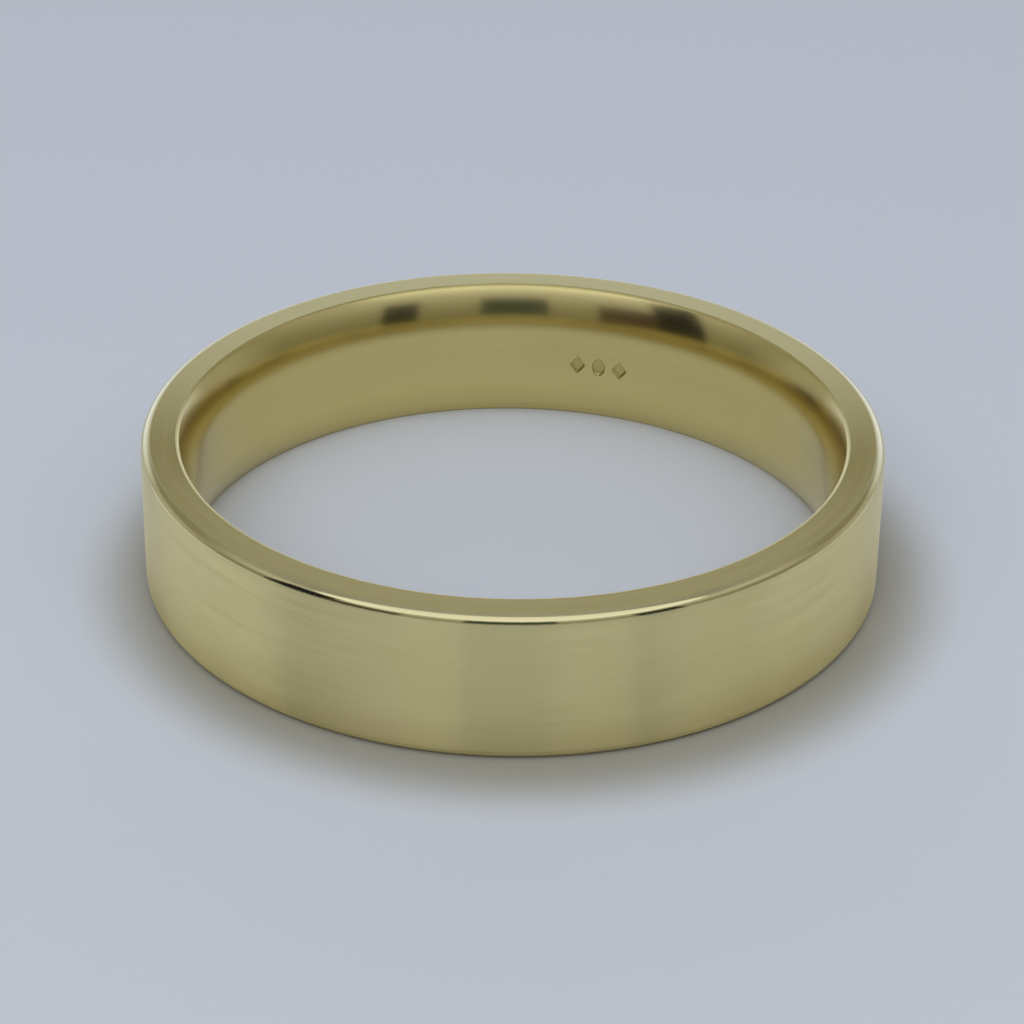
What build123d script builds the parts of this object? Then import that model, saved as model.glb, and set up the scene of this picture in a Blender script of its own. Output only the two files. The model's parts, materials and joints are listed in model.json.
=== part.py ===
"""A plain wedding band: flat outside and flat sides, eased inside for comfort.

The band is one piece of gold alloy. Its origin is the centre of the bore at
mid width, with +Z along the bore's axis, so the band lies flat on its lower side.
"""

import os
from math import cos, degrees, radians, sin

from build123d import *

# Driving dimensions, in millimetres.
BAND_WIDTH = 4.0        # from one flat side to the other, along the finger
BORE_DIAMETER = 16.6    # narrowest inside diameter, which sets the finger size
WALL_THICKNESS = 1.45   # at mid width
BORE_LAND = 1.2         # length of the straight middle of the bore
COMFORT_EASE = 0.475    # how far the bore opens out at each side
OUTER_EDGE_RADIUS = 0.25
INNER_EDGE_RADIUS = 0.12

# Three punched cartouches stand in for the maker's and assay marks.
MARK_AZIMUTH = 73.0     # degrees round the bore from +X to the middle mark
MARK_HEIGHT = -0.2      # of the marks' centres above mid width
MARK_DEPTH = 0.05
MARK_PITCH = 0.62       # between the marks' centres, round the bore
LOZENGE_WIDTH = 0.5
LOZENGE_TALL = 0.6
OVAL_WIDTH = 0.42
OVAL_TALL = 0.56

# Sizes that follow from the driving dimensions.
bore_radius = BORE_DIAMETER / 2
outer_radius = bore_radius + WALL_THICKNESS
mouth_radius = bore_radius + COMFORT_EASE
half_width = BAND_WIDTH / 2
half_land = BORE_LAND / 2
mark_step = degrees(MARK_PITCH / bore_radius)
punch_clearance = 0.2   # how far each punch starts inside the bore


def mark_plane(azimuth):
    """Plane inside the bore at an azimuth, facing out through its wall."""
    turn = radians(azimuth)
    reach = bore_radius - punch_clearance
    return Plane(
        origin=(reach * cos(turn), reach * sin(turn), MARK_HEIGHT),
        x_dir=(-sin(turn), cos(turn), 0),
        z_dir=(cos(turn), sin(turn), 0),
    )


with BuildPart() as band:
    # The section: straight outside, flat sides, and a bore that is straight at
    # mid width and opens out to each side along an arc tangent to its middle.
    with BuildSketch(Plane.XZ):
        with BuildLine():
            land = Line((bore_radius, -half_land), (bore_radius, half_land))
            upper_ease = TangentArc(land @ 1, (mouth_radius, half_width), tangent=(0, 1))
            lower_ease = TangentArc(land @ 0, (mouth_radius, -half_width), tangent=(0, -1))
            Polyline(
                upper_ease @ 1,
                (outer_radius, half_width),
                (outer_radius, -half_width),
                lower_ease @ 1,
            )
        make_face()
        corners = vertices().group_by(Axis.X)
        fillet(corners[-1], OUTER_EDGE_RADIUS)
        fillet(vertices().filter_by_position(
            Axis.X, mouth_radius - 0.01, mouth_radius + 0.01), INNER_EDGE_RADIUS)
    revolve(axis=Axis.Z)

    # The row of marks is the same seen in a mirror: lozenge, oval, lozenge.
    for place in (-1, 1):
        with BuildSketch(mark_plane(MARK_AZIMUTH + place * mark_step)):
            lozenge_points = [
                (-LOZENGE_WIDTH / 2, 0),
                (0, -LOZENGE_TALL / 2),
                (LOZENGE_WIDTH / 2, 0),
                (0, LOZENGE_TALL / 2),
            ]
            Polygon(*lozenge_points)
        extrude(amount=punch_clearance + MARK_DEPTH, mode=Mode.SUBTRACT)
    with BuildSketch(mark_plane(MARK_AZIMUTH)):
        Ellipse(OVAL_WIDTH / 2, OVAL_TALL / 2)
    extrude(amount=punch_clearance + MARK_DEPTH, mode=Mode.SUBTRACT)

band.part.label = "band"
os.makedirs("parts", exist_ok=True)
export_step(band.part, "parts/band.step")
print("outer diameter", 2 * outer_radius, "volume", round(band.part.volume, 2))
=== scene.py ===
"""A plain gold wedding band lying on its side: its visual model, finish, light and camera."""

import json
from math import asin, cos, hypot, pi, radians, sin, tan

import bmesh
import bpy
from mathutils import Matrix, Vector


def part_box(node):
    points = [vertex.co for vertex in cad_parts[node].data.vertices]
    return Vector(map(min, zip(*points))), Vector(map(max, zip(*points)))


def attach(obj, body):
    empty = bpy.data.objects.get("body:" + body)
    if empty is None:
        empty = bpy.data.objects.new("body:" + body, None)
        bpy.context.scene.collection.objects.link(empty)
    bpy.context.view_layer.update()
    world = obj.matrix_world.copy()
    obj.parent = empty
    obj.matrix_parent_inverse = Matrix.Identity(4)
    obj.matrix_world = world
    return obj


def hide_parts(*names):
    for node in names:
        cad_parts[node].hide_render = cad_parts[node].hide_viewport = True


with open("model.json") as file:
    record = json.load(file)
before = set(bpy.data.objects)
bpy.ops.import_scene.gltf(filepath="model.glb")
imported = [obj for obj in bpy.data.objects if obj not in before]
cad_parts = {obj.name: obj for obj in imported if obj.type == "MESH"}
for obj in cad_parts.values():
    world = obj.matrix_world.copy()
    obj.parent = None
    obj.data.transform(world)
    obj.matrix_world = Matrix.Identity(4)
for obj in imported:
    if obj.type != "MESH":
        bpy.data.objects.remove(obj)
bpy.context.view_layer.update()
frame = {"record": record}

MM = 0.001

# The band's sizes, in metres. Its width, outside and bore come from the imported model.
record_mounts = {mount["name"]: mount for mount in frame["record"]["mounts"]}
bore = record_mounts["finger_bore"]["dims"]
low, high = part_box("band")
OUTER_RADIUS = min(-low.x, high.x, -low.y, high.y)
HALF_WIDTH = (high.z - low.z) / 2
BORE_RADIUS = bore["r_mm"] * MM
HALF_LAND = bore["length_mm"] * MM / 2
COMFORT_EASE = 0.475 * MM
OUTER_EDGE_RADIUS = 0.25 * MM
INNER_EDGE_RADIUS = 0.12 * MM

# Three blank cartouches punched in the bore, in place of the maker's and assay marks.
MARK_AZIMUTH = radians(73.0)
MARK_HEIGHT = -0.2 * MM
MARK_DEPTH = 0.05 * MM
MARK_PITCH = 0.62 * MM
LOZENGE_HALVES = (0.25 * MM, 0.30 * MM)
OVAL_HALVES = (0.21 * MM, 0.28 * MM)
MARK_SLOPE = 0.07 * MM       # how wide a mark's sloping wall is
BURR_HEIGHT = 0.002 * MM     # the metal that a punch pushes up round its mark
BURR_WIDTH = 0.05 * MM

# How finely the band is divided.
COLUMNS = 360
FINE_COLUMNS = 170           # extra ones where the marks are
FINE_HALF_ANGLE = radians(8.5)
LAND_STEPS = 56
EASE_STEPS = 22
EDGE_STEPS = 12
SUPPORT = 0.006 * MM         # a narrow strip that keeps flat faces flat beside an edge

# Finishes, each with its gold tone painted lighter or darker as light and shade, in the order of the
# mesh's material slots.
FINISHES = ("bore", "inner_edge", "side", "outer_edge", "wall", "mark")
BORE, INNER_EDGE, SIDE, OUTER_EDGE, WALL, MARK = range(6)


# ------------------------------------------------------------------ the band's shape


def arc(centre, radius, start, end, steps):
    """Points on an arc, both ends included."""
    turns = [start + (end - start) * i / steps for i in range(steps + 1)]
    return [(centre[0] + radius * cos(t), centre[1] + radius * sin(t)) for t in turns]


def upper_section():
    """The section's upper half, from the land's top round to the wall, as (radius, height, finish).

    The finish is that of the strip between a point and the next one.
    """
    length = HALF_WIDTH - HALF_LAND
    ease_radius = (length**2 + COMFORT_EASE**2) / (2 * COMFORT_EASE)
    ease_centre = (BORE_RADIUS + ease_radius, HALF_LAND)
    edge_rise = length - INNER_EDGE_RADIUS
    edge_turn = asin(edge_rise / (ease_radius - INNER_EDGE_RADIUS))
    edge_centre = (
        ease_centre[0] - (ease_radius - INNER_EDGE_RADIUS) * cos(edge_turn),
        HALF_WIDTH - INNER_EDGE_RADIUS,
    )
    corner = (OUTER_RADIUS - OUTER_EDGE_RADIUS, HALF_WIDTH - OUTER_EDGE_RADIUS)

    ease = arc(ease_centre, ease_radius, pi, pi - edge_turn, EASE_STEPS)
    inner = arc(edge_centre, INNER_EDGE_RADIUS, pi - edge_turn, pi / 2, EDGE_STEPS)
    outer = arc(corner, OUTER_EDGE_RADIUS, pi / 2, 0, EDGE_STEPS)
    side = [
        (inner[-1][0] + SUPPORT, HALF_WIDTH),
        (outer[0][0] - SUPPORT, HALF_WIDTH),
    ]
    wall = [(OUTER_RADIUS, outer[-1][1] - SUPPORT)]

    points = [(r, z, BORE) for r, z in ease[:-1]]
    points += [(r, z, INNER_EDGE) for r, z in inner[:-1]]
    points += [(inner[-1][0], inner[-1][1], SIDE)]
    points += [(r, z, SIDE) for r, z in side]
    points += [(r, z, OUTER_EDGE) for r, z in outer[:-1]]
    points += [(outer[-1][0], outer[-1][1], WALL)]
    points += [(r, z, WALL) for r, z in wall]
    return points


def section():
    """The whole section as a closed loop of (radius, height, finish)."""
    upper = upper_section()
    lower = []
    for i in range(len(upper) - 1, -1, -1):
        r, z, _ = upper[i]
        finish = upper[i - 1][2] if i else BORE
        lower.append((r, -z, finish))
    land_heights = [HALF_LAND * (2 * i / LAND_STEPS - 1) for i in range(1, LAND_STEPS)]
    land = [(BORE_RADIUS, z, BORE) for z in land_heights]
    return upper + lower + land


def azimuths():
    """The columns' angles: evenly spaced, and closer together where the marks are."""
    coarse = [2 * pi * i / COLUMNS for i in range(COLUMNS)]
    outside = [a for a in coarse if abs(a - MARK_AZIMUTH) > FINE_HALF_ANGLE]
    step = 2 * FINE_HALF_ANGLE / FINE_COLUMNS
    fine = [MARK_AZIMUTH - FINE_HALF_ANGLE + step * (i + 0.5) for i in range(FINE_COLUMNS)]
    return sorted(outside + fine)


def smooth(x):
    """0 below 0, 1 above 1, and a smooth step between."""
    x = min(1.0, max(0.0, x))
    return x * x * (3 - 2 * x)


def mark_distances(along, up):
    """How far a point on the bore is outside each mark, negative inside."""
    distances = []
    for place in (-1, 0, 1):
        a, b = OVAL_HALVES if place == 0 else LOZENGE_HALVES
        u = abs(along - place * MARK_PITCH) / a
        v = abs(up) / b
        if place == 0:
            distances.append((hypot(u, v) - 1) * min(a, b))
        else:
            distances.append((u + v - 1) * a * b / hypot(a, b))
    return distances


def mark_depth(azimuth, height):
    """How far the marks push the bore's surface outwards at a point."""
    along = (azimuth - MARK_AZIMUTH) * BORE_RADIUS
    distance = min(mark_distances(along, height - MARK_HEIGHT))
    depth = MARK_DEPTH * smooth(-distance / MARK_SLOPE)
    burr = BURR_HEIGHT * smooth(1 - abs(distance - BURR_WIDTH / 2) / (BURR_WIDTH / 2))
    return depth - burr


def make_band():
    """The band as one lathed mesh with the marks pressed into its bore."""
    loop = section()
    turns = azimuths()
    mesh = bmesh.new()
    rings = []
    for turn in turns:
        ring = []
        for r, z, _ in loop:
            if abs(z) <= HALF_LAND and r < BORE_RADIUS + SUPPORT:
                r += mark_depth(turn, z)
            ring.append(mesh.verts.new((r * cos(turn), r * sin(turn), z)))
        rings.append(ring)
    for i, ring in enumerate(rings):
        following = rings[(i + 1) % len(rings)]
        for j, (_, _, finish) in enumerate(loop):
            k = (j + 1) % len(loop)
            face = mesh.faces.new((ring[j], following[j], following[k], ring[k]))
            pressed = finish == BORE and mark_depth(turns[i], loop[j][1]) > MARK_DEPTH / 2
            face.material_index = MARK if pressed else finish
            face.smooth = True
    bmesh.ops.recalc_face_normals(mesh, faces=mesh.faces)
    data = bpy.data.meshes.new("gold_band")
    mesh.to_mesh(data)
    mesh.free()
    piece = bpy.data.objects.new("gold_band", data)
    bpy.context.scene.collection.objects.link(piece)
    return piece


# ------------------------------------------------------------------ gold finishes, with painted light and shade in their tones

NOISE_RANGE = (0.3, 0.7)     # where most of a noise's values lie
QUARTER_TURN = 0.25          # turns the stretch of reflections across the brush lines

# Unevenness that the maker's tools leave: the streaks' length, their pitch and their detail.
FINE_LINES = (2.5 * MM, 0.05 * MM, 1)
BROAD_LINES = (4.0 * MM, 0.16 * MM, 2)
CLOUD = (2.6 * MM, 1.4 * MM, 2)
ROUGH_VARIATION = 0.07       # how far the roughness varies either way, as a part of it


class Nodes:
    """A short way to write a node tree."""

    def __init__(self, tree):
        self.tree = tree

    def add(self, kind, **settings):
        node = self.tree.nodes.new(kind)
        for name, value in settings.items():
            setattr(node, name, value)
        return node

    def link(self, source, target):
        self.tree.links.new(source, target)

    def math(self, operation, first, second=None):
        node = self.add("ShaderNodeMath", operation=operation)
        for socket, value in zip(node.inputs, (first, second)):
            if value is None:
                continue
            if isinstance(value, (int, float)):
                socket.default_value = value
            else:
                self.link(value, socket)
        return node.outputs[0]

    def map_range(self, value, span, results, **settings):
        """Maps value from span, its two ends, to results, and holds it there outside them."""
        node = self.add("ShaderNodeMapRange", **settings)
        node.inputs["From Min"].default_value = span[0]
        node.inputs["From Max"].default_value = span[1]
        node.inputs["To Min"].default_value = results[0]
        node.inputs["To Max"].default_value = results[1]
        self.link(value, node.inputs["Value"])
        return node.outputs["Result"]

    def mix(self, fac, first, second):
        """A colour that goes from first to second. Each is a colour or another node's output."""
        node = self.add("ShaderNodeMix", data_type="RGBA")
        for socket, colour in ((node.inputs[6], first), (node.inputs[7], second)):
            if isinstance(colour, tuple):
                socket.default_value = (*colour, 1)
            else:
                self.link(colour, socket)
        self.link(fac, node.inputs[0])
        return node.outputs[2]


class Material(Nodes):
    """A new material's nodes, and what its patterns are measured by."""

    def __init__(self, name):
        self.material = bpy.data.materials.new(name)
        self.material.use_nodes = True
        super().__init__(self.material.node_tree)
        self.shader = self.tree.nodes["Principled BSDF"]

    def place(self):
        """The point's place in the band's own frame, in metres."""
        return self.add("ShaderNodeTexCoord").outputs["Object"]

    def brush_noise(self, streak, pitch, detail):
        """Noise that is drawn out round the band: streak long and pitch apart.

        The third part of its place runs along the section on any face, because it adds the
        distance from the axis to the height.
        """
        x, y, z = self.parts()
        across = self.math("ADD", self.radius(), z)
        joined = self.add("ShaderNodeCombineXYZ")
        self.link(self.math("DIVIDE", x, streak), joined.inputs[0])
        self.link(self.math("DIVIDE", y, streak), joined.inputs[1])
        self.link(self.math("DIVIDE", across, pitch), joined.inputs[2])
        noise = self.add("ShaderNodeTexNoise")
        noise.inputs["Scale"].default_value = 1.0
        noise.inputs["Detail"].default_value = detail
        noise.inputs["Roughness"].default_value = 0.5
        self.link(joined.outputs[0], noise.inputs["Vector"])
        return noise.outputs["Fac"]

    def spread(self, fac, low, high):
        """Maps a noise's usual range to low..high."""
        return self.map_range(fac, NOISE_RANGE, (low, high))

    def parts(self):
        """The x, y and z of the point's place."""
        parts = self.add("ShaderNodeSeparateXYZ")
        self.link(self.place(), parts.inputs[0])
        return list(parts.outputs)

    def height(self):
        """How far a point is above or below the band's middle plane."""
        return self.math("ABSOLUTE", self.parts()[2])

    def radius(self, centre=(0.0, 0.0, 0.0)):
        """How far a point is from the upright line through centre."""
        x, y, _ = self.parts()
        x = self.math("SUBTRACT", x, centre[0])
        y = self.math("SUBTRACT", y, centre[1])
        square = self.math("ADD", self.math("MULTIPLY", x, x), self.math("MULTIPLY", y, y))
        return self.math("SQRT", square)

    def steps(self, height, stops):
        """Smooth steps between (height, value) stops. Height may be any measured distance."""
        result = stops[0][1]
        for (start, before), (end, after) in zip(stops, stops[1:]):
            rise = (0.0, after - before)
            step = self.map_range(height, (start, end), rise, interpolation_type="SMOOTHSTEP")
            result = self.math("ADD", step, result)
        return result

    def bump(self, height, distance, below=None):
        node = self.add("ShaderNodeBump")
        node.inputs["Strength"].default_value = 1.0
        node.inputs["Distance"].default_value = distance
        self.link(height, node.inputs["Height"])
        if below is not None:
            self.link(below, node.inputs["Normal"])
        return node.outputs["Normal"]

    def brushed_round(self, amount):
        """Stretches reflections across the brush lines, which run round the band."""
        tangent = self.add("ShaderNodeTangent", direction_type="RADIAL", axis="Z")
        self.link(tangent.outputs[0], self.shader.inputs["Tangent"])
        self.shader.inputs["Anisotropic"].default_value = amount
        self.shader.inputs["Anisotropic Rotation"].default_value = QUARTER_TURN


def gold(name, finish):
    """Gold with brush lines round the band, finished and painted in tones as a dict of its numbers
    says.

    deep and bright are the tones that its random unevenness runs between; each part of the band has
    its own pair, painted lighter or darker as light and shade.
    rough is the roughness, or a list of (height, roughness) from the band's middle up.
    lines and swell are bump heights in metres: fine brush lines, and the broad unevenness
    that filing leaves.
    """
    nodes = Material(name)
    shader = nodes.shader
    shader.inputs["Metallic"].default_value = 1.0
    nodes.brushed_round(finish["anisotropy"])

    fine = nodes.brush_noise(*FINE_LINES)
    broad = nodes.brush_noise(*BROAD_LINES)
    cloud = nodes.brush_noise(*CLOUD)

    tone = nodes.math("MULTIPLY", nodes.math("ADD", fine, cloud), 0.5)
    colour = nodes.mix(nodes.spread(tone, 0, 1), finish["deep"], finish["bright"])
    nodes.link(colour, shader.inputs["Base Color"])
    uneven = nodes.spread(broad, 1 - ROUGH_VARIATION, 1 + ROUGH_VARIATION)
    if isinstance(finish["rough"], list):
        rough = nodes.steps(nodes.height(), finish["rough"])
    else:
        rough = finish["rough"]
    nodes.link(nodes.math("MULTIPLY", uneven, rough), shader.inputs["Roughness"])
    wavy = nodes.bump(cloud, finish["swell"])
    lined = nodes.bump(fine, finish["lines"], below=wavy)
    nodes.link(lined, shader.inputs["Normal"])
    return nodes.material


# One gold, painted in a tone of its own on each part of the band, each between its deepest and its
# brightest tone. The tones are painted light and shade: a darker copy in the bore and a darker one
# still in the punched marks as painted shade, a lighter copy on the outside wall and a paler one on
# the polished outer edge as painted light, and the sides' and inner edges' tone between.
WARM = {"deep": (0.79, 0.66, 0.25), "bright": (0.82, 0.695, 0.275)}
PAINTED_SHADE_BORE_GOLD = {"deep": (0.73, 0.605, 0.245), "bright": (0.765, 0.64, 0.275)}
PAINTED_SHADE_MARK_GOLD = {"deep": (0.63, 0.53, 0.215), "bright": (0.70, 0.59, 0.245)}
PAINTED_LIGHT_EDGE_GOLD = {"deep": (0.82, 0.71, 0.345), "bright": (0.87, 0.76, 0.385)}
PAINTED_LIGHT_WALL_GOLD = {"deep": (0.87, 0.75, 0.36), "bright": (0.93, 0.81, 0.41)}

LAND_ROUGH = 0.255           # the straight middle of the bore
POLISHED_ROUGH = 0.17        # the bore's eased parts
INNER_EDGE_ROUGH = 0.36
SIDE_ROUGH = 0.165
WALL_ROUGH = 0.34
EDGE_ROUGH = 0.10            # the outer edge's polished middle
EDGE_TOP_ROUGH = 0.24        # where the outer edge runs into the side
MARK_ROUGH = 0.5

# Heights on the outer edge: where it leaves the wall, and its polished part.
EDGE_FOOT = HALF_WIDTH - OUTER_EDGE_RADIUS
POLISH_START = EDGE_FOOT + 0.5 * OUTER_EDGE_RADIUS
POLISH_END = EDGE_FOOT + 0.85 * OUTER_EDGE_RADIUS

FINISH_AND_PAINTED_TONE = {
    "bore": {
        # A darker copy of the gold: painted shade inside the band.
        **PAINTED_SHADE_BORE_GOLD,
        "anisotropy": 0.83,
        "rough": [(0.0, LAND_ROUGH), (2 * HALF_LAND, POLISHED_ROUGH)],
        "lines": 0.03e-6,
        "swell": 0.1e-6,
    },
    "inner_edge": {
        **WARM,
        "anisotropy": 0.8,
        "rough": INNER_EDGE_ROUGH,
        "lines": 0.03e-6,
        "swell": 0.2e-6,
    },
    "side": {
        **WARM,
        "anisotropy": 1.0,
        "rough": SIDE_ROUGH,
        "lines": 0.15e-6,
        "swell": 1.0e-6,
    },
    "outer_edge": {
        # A paler copy of the gold: painted light on the polished outer edge.
        **PAINTED_LIGHT_EDGE_GOLD,
        "anisotropy": 1.0,
        "rough": [
            (EDGE_FOOT, WALL_ROUGH),
            (POLISH_START, EDGE_ROUGH),
            (POLISH_END, EDGE_ROUGH),
            (HALF_WIDTH, EDGE_TOP_ROUGH),
        ],
        "lines": 0.25e-6,
        "swell": 0.2e-6,
    },
    "mark": {
        # A darker copy still: painted shade in the punched marks.
        **PAINTED_SHADE_MARK_GOLD,
        "anisotropy": 0.0,
        "rough": MARK_ROUGH,
        "lines": 0.0,
        "swell": 0.5e-6,
    },
    "wall": {
        # A lighter copy of the gold: painted light on the outside wall.
        **PAINTED_LIGHT_WALL_GOLD,
        "anisotropy": 1.0,
        "rough": WALL_ROUGH,
        "lines": 0.5e-6,
        "swell": 1.0e-6,
    },
}


def finish_and_paint_band(piece):
    """Gives each part of the surface the finish that the maker's tools leave there, in a gold tone
    painted lighter or darker as light and shade.
    """
    for name in FINISHES:
        piece.data.materials.append(gold("gold_" + name, FINISH_AND_PAINTED_TONE[name]))


# ------------------------------------------------------------------ floor, light and camera

FLOOR_GAP = 0.01 * MM        # between the floor and the band's lower side
FLOOR_HALF = 0.6             # half of the floor's side
PAPER = (0.76, 0.78, 0.80)
PAPER_PAINTED_SHADE = (0.43, 0.41, 0.34)   # painted shade against the band's foot, tinted warm as painted bounce light from the gold
PAPER_ROUGH = 0.7
PAINTED_SHADE_WIDTH = 2.5 * MM
PAINTED_SHADE_CENTRE = (0.2 * MM, -0.5 * MM, 0.0)   # the painted shade falls a little forward and to the right, as a painted soft shadow
UNDER_BLEND = 0.1 * MM       # over which the painted shade starts, out of sight under the band


def paper_with_painted_shade(name, painted_reflection_tone=1.0):
    """Pale matt paper, with a painted soft shade where the band's outside meets it.

    Its tone is multiplied by the last argument, which tones the gold-only strips as painted
    reflections.
    """
    nodes = Material(name)
    nodes.shader.inputs["Roughness"].default_value = PAPER_ROUGH
    under = (BORE_RADIUS + OUTER_RADIUS) / 2
    # Painted shade: the paper darkens towards the band's outer foot as a painted soft contact
    # shadow, warmed as painted bounce light, and stays plain under the band.
    inside = nodes.steps(nodes.radius(), [(under, 1.0), (under + UNDER_BLEND, 0.0)])
    foot = OUTER_RADIUS - OUTER_EDGE_RADIUS
    outside = nodes.steps(nodes.radius(PAINTED_SHADE_CENTRE), [(foot, 0.0), (foot + PAINTED_SHADE_WIDTH, 1.0)])
    painted_shade_tone, plain_tone = (tuple(painted_reflection_tone * part for part in tone) for tone in (PAPER_PAINTED_SHADE, PAPER))
    tone = nodes.mix(nodes.math("MAXIMUM", inside, outside), painted_shade_tone, plain_tone)
    nodes.link(tone, nodes.shader.inputs["Base Color"])
    return nodes.material


def make_floor():
    """A square of paper, far larger than the band, plain but for a painted shade round the band's
    foot.
    """
    data = bpy.data.meshes.new("floor")
    s = FLOOR_HALF
    z = low.z - FLOOR_GAP
    data.from_pydata([(-s, -s, z), (s, -s, z), (s, s, z), (-s, s, z)], [], [(0, 1, 2, 3)])
    data.materials.append(paper_with_painted_shade("paper_with_painted_shade"))
    floor = bpy.data.objects.new("floor", data)
    bpy.context.scene.collection.objects.link(floor)


COOL = (0.93, 1.0, 1.12)
BLUE = (0.88, 1.0, 1.4)


def softbox(name, place, size, radiance, colour, on_floor=True, in_gold=True):
    """A soft oval lamp that faces straight down, as bright as radiance all over."""
    light = bpy.data.lights.new(name, "AREA")
    light.shape = "ELLIPSE"
    light.size, light.size_y = size
    light.energy = radiance * pi * (pi / 4) * size[0] * size[1]
    light.color = colour
    lamp = bpy.data.objects.new(name, light)
    lamp.location = place
    lamp.visible_diffuse = on_floor
    lamp.visible_glossy = in_gold
    bpy.context.scene.collection.objects.link(lamp)


def make_lamps():
    """Two lamps just in front of the band, overhead, and a third that only the floor sees.

    The first two hang at different heights, so that reflections show both.
    """
    overhead = (0.58, 0.34)
    softbox("front_softbox", (0, -0.155, 0.3), overhead, radiance=0.38, colour=COOL)
    softbox("edge_softbox", (0, -0.16, 0.31), overhead, radiance=0.2, colour=BLUE, on_floor=False)
    softbox(
        "floor_softbox", (-0.06, -0.34, 0.26), (0.34, 0.34), radiance=2.1, colour=COOL, in_gold=False
    )


def show_only_in_gold(card):
    """Adds a piece of scenery that shows only in reflections."""
    card.visible_camera = False
    card.visible_diffuse = False
    card.visible_shadow = False
    bpy.context.scene.collection.objects.link(card)


CARD_ROUGH = 0.9


def dark_card(name, azimuth, distance, half_turn, bottom, top, colour):
    """An upright dark card that shows only in the gold.

    Its angles are those seen from the band, in degrees: azimuth to the right of the camera's
    side, half_turn from its middle to either end, and the elevations of its bottom and top.
    """
    across = Vector((cos(radians(azimuth)), sin(radians(azimuth)), 0))
    middle = Vector((sin(radians(azimuth)), -cos(radians(azimuth)), 0)) * distance
    half = across * distance * tan(radians(half_turn))
    foot = Vector((0, 0, distance * tan(radians(bottom))))
    head = Vector((0, 0, distance * tan(radians(top))))
    left, right = middle - half, middle + half
    data = bpy.data.meshes.new(name)
    data.from_pydata([left + foot, right + foot, right + head, left + head], [], [(0, 1, 2, 3)])
    paint = Material(name)
    paint.shader.inputs["Base Color"].default_value = (*colour, 1)
    paint.shader.inputs["Roughness"].default_value = CARD_ROUGH
    data.materials.append(paint.material)
    show_only_in_gold(bpy.data.objects.new(name, data))


def make_cards():
    """The photographer's gear, as the bore and the polished edge mirror it."""
    dark_card("camera_body", 0, 0.08, half_turn=12.8, bottom=8, top=33, colour=(0.035, 0.06, 0.052))
    dark_card("stand_left", -63.4, 0.2, half_turn=9.8, bottom=0, top=40, colour=(0.0, 0.0, 0.002))
    dark_card("arm_left", -42.5, 0.19, half_turn=11.4, bottom=2, top=27, colour=(0.075, 0.035, 0.02))
    dark_card("stand_right", 42.5, 0.2, half_turn=7.0, bottom=0, top=30, colour=(0.0, 0.005, 0.0))


STRIP_LENGTH = 60 * MM
STRIP_STEPS = 12
MIRROR_TURN = 2.13   # the wall at an azimuth mirrors the direction this many times as far round

# The strips of table that the wall mirrors, from left to right: painted reflections, paper in a
# lighter or darker tone that stands in for the light and gear that a glossy table would mirror. Each
# is as (name, azimuth in degrees where it ends, tone against the paper's), and starts where the one
# before it ends.
STRIPS_START = -62
PAINTED_REFLECTION_STRIPS = (
    ("painted_reflection_far_left", -34.5, 1.24),
    ("painted_reflection_stand_left", -21.5, 1.05),
    ("painted_reflection_left", -7.1, 1.07),
    ("painted_reflection_camera", 4.9, 0.97),
    ("painted_reflection_right", 17.9, 1.02),
    ("painted_reflection_stand_right", 21.7, 0.96),
    ("painted_reflection_far_right", 40, 1.08),
    ("painted_reflection_end_right", 62, 1.16),
)


def painted_reflection_strip(name, start, end, painted_reflection_tone):
    """A strip of floor in another tone that shows only in the gold: a painted reflection.

    The wall between two azimuths, start and end, mirrors it. They are measured as in dark_card.
    """
    z = low.z - FLOOR_GAP / 2
    near, far = [], []
    for i in range(STRIP_STEPS + 1):
        foot = radians(start + (end - start) * i / STRIP_STEPS)
        x, y = OUTER_RADIUS * sin(foot), -OUTER_RADIUS * cos(foot)
        away = foot * MIRROR_TURN
        near.append((x, y, z))
        far.append((x + STRIP_LENGTH * sin(away), y - STRIP_LENGTH * cos(away), z))
    after = STRIP_STEPS + 1
    faces = [(i, i + 1, after + i + 1, after + i) for i in range(STRIP_STEPS)]
    data = bpy.data.meshes.new(name)
    data.from_pydata(near + far, [], faces)
    # Painted reflection: the paper's tone, its painted shade too, made lighter or darker by the
    # strip's tone.
    data.materials.append(paper_with_painted_shade(name, painted_reflection_tone))
    show_only_in_gold(bpy.data.objects.new(name, data))


def make_painted_reflection_strips():
    """Painted reflections: the table as the wall mirrors it, lighter and darker by turns."""
    start = STRIPS_START
    for name, end, painted_reflection_tone in PAINTED_REFLECTION_STRIPS:
        painted_reflection_strip(name, start, end, painted_reflection_tone)
        start = end


# The light that comes from in front of the band, from its sides and from behind it, each as
# (elevation in degrees, colour).
SKY_FRONT = [
    (0, (0.19, 0.185, 0.14)),
    (10, (0.20, 0.205, 0.165)),
    (15, (0.24, 0.24, 0.21)),
    (20, (0.28, 0.285, 0.27)),
    (25, (0.33, 0.335, 0.34)),
    (30, (0.41, 0.42, 0.45)),
    (40, (0.50, 0.52, 0.58)),
    (90, (0.48, 0.51, 0.57)),
]
SKY_SIDES = [
    (0, (0.39, 0.405, 0.43)),
    (18, (0.39, 0.405, 0.42)),
    (27, (0.24, 0.235, 0.19)),
    (40, (0.24, 0.24, 0.20)),
    (52, (0.42, 0.43, 0.46)),
    (90, (0.48, 0.51, 0.57)),
]
SKY_BACK = [
    (0, (0.92, 1.04, 1.50)),
    (22, (0.92, 1.04, 1.50)),
    (25, (0.70, 0.78, 1.05)),
    (27.5, (0.175, 0.17, 0.125)),
    (37, (0.20, 0.19, 0.145)),
    (50, (0.40, 0.41, 0.42)),
    (90, (0.48, 0.51, 0.57)),
]

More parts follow.
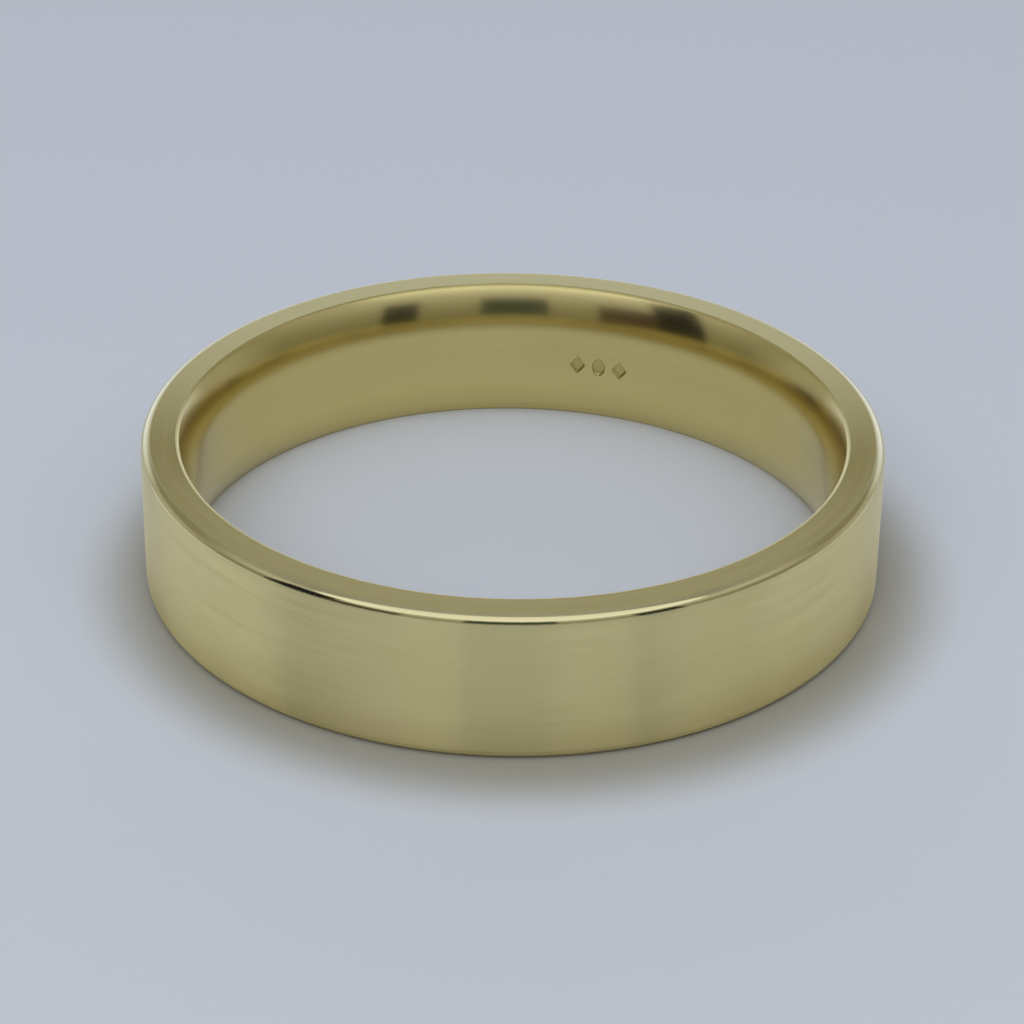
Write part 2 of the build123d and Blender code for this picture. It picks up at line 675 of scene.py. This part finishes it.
# How far back a direction points, as its Y part, while one sky gives way to the next.
FRONT_TO_SIDES = (0.0, 0.4)
SIDES_TO_BACK = (0.65, 0.92)

OVERHEAD_IN_GOLD = 0.6       # the part of the sky's brightness overhead that the gold reflects
OVERHEAD_SPAN = (sin(radians(44)), sin(radians(60)))   # the heights over which it falls to that


def sky_ramp(nodes, height, stops):
    """The colour of the sky at a height, which is the sine of the elevation."""
    ramp = nodes.add("ShaderNodeValToRGB")
    nodes.link(height, ramp.inputs["Fac"])
    elements = ramp.color_ramp.elements
    while len(elements) < len(stops):
        elements.new(0.5)
    for element, (elevation, colour) in zip(elements, stops):
        element.position = sin(radians(elevation))
        element.color = (*colour, 1)
    return ramp.outputs["Color"]


def make_world():
    """A soft sky, dim low in front of the band, bright low behind it and even overhead.

    The gold sees less of the part overhead than the floor does.
    """
    world = bpy.data.worlds.new("studio")
    bpy.context.scene.world = world
    world.use_nodes = True
    world.node_tree.nodes.clear()
    nodes = Nodes(world.node_tree)
    parts = nodes.add("ShaderNodeSeparateXYZ")
    nodes.link(nodes.add("ShaderNodeTexCoord").outputs["Generated"], parts.inputs[0])
    back, height = parts.outputs["Y"], parts.outputs["Z"]

    colour = sky_ramp(nodes, height, SKY_FRONT)
    for stops, span in ((SKY_SIDES, FRONT_TO_SIDES), (SKY_BACK, SIDES_TO_BACK)):
        further = nodes.map_range(back, span, (0.0, 1.0))
        colour = nodes.mix(further, colour, sky_ramp(nodes, height, stops))

    dimmed = nodes.map_range(height, OVERHEAD_SPAN, (1.0, OVERHEAD_IN_GOLD))
    lights_floor = nodes.add("ShaderNodeLightPath").outputs["Is Diffuse Ray"]
    background = nodes.add("ShaderNodeBackground")
    nodes.link(nodes.math("MAXIMUM", dimmed, lights_floor), background.inputs["Strength"])
    nodes.link(colour, background.inputs["Color"])
    output = nodes.add("ShaderNodeOutputWorld")
    nodes.link(background.outputs[0], output.inputs["Surface"])


CAMERA_ELEVATION = radians(29.26)
CAMERA_DISTANCE = 8.85 * OUTER_RADIUS
CAMERA_RAISE = -0.0496 * OUTER_RADIUS
CAMERA_ROLL = 0.0128         # radians
CAMERA_LENS = 114.15         # millimetres, as is the sensor's width
SENSOR_WIDTH = 36.0


def make_camera():
    """The camera, in front of the band and looking down at it, just off its centre."""
    data = bpy.data.cameras.new("camera")
    data.lens = CAMERA_LENS
    data.sensor_width = SENSOR_WIDTH
    data.clip_start = 1 * MM
    data.clip_end = 5.0
    camera = bpy.data.objects.new("camera", data)
    forward = Vector((0, cos(CAMERA_ELEVATION), -sin(CAMERA_ELEVATION)))
    right = Vector((1, 0, 0))
    up = right.cross(forward)
    x = right * cos(CAMERA_ROLL) + up * sin(CAMERA_ROLL)
    y = up * cos(CAMERA_ROLL) - right * sin(CAMERA_ROLL)
    turn = Matrix((x, y, -forward)).transposed()
    place = up * CAMERA_RAISE - forward * CAMERA_DISTANCE
    camera.matrix_world = Matrix.Translation(place) @ turn.to_4x4()
    bpy.context.scene.collection.objects.link(camera)
    bpy.context.scene.camera = camera


# ------------------------------------------------------------------ putting it together

band = make_band()
finish_and_paint_band(band)
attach(band, "root")
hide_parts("band")

make_floor()
make_world()
make_lamps()
make_cards()
make_painted_reflection_strips()
make_camera()
bpy.context.scene.view_settings.view_transform = "Standard"
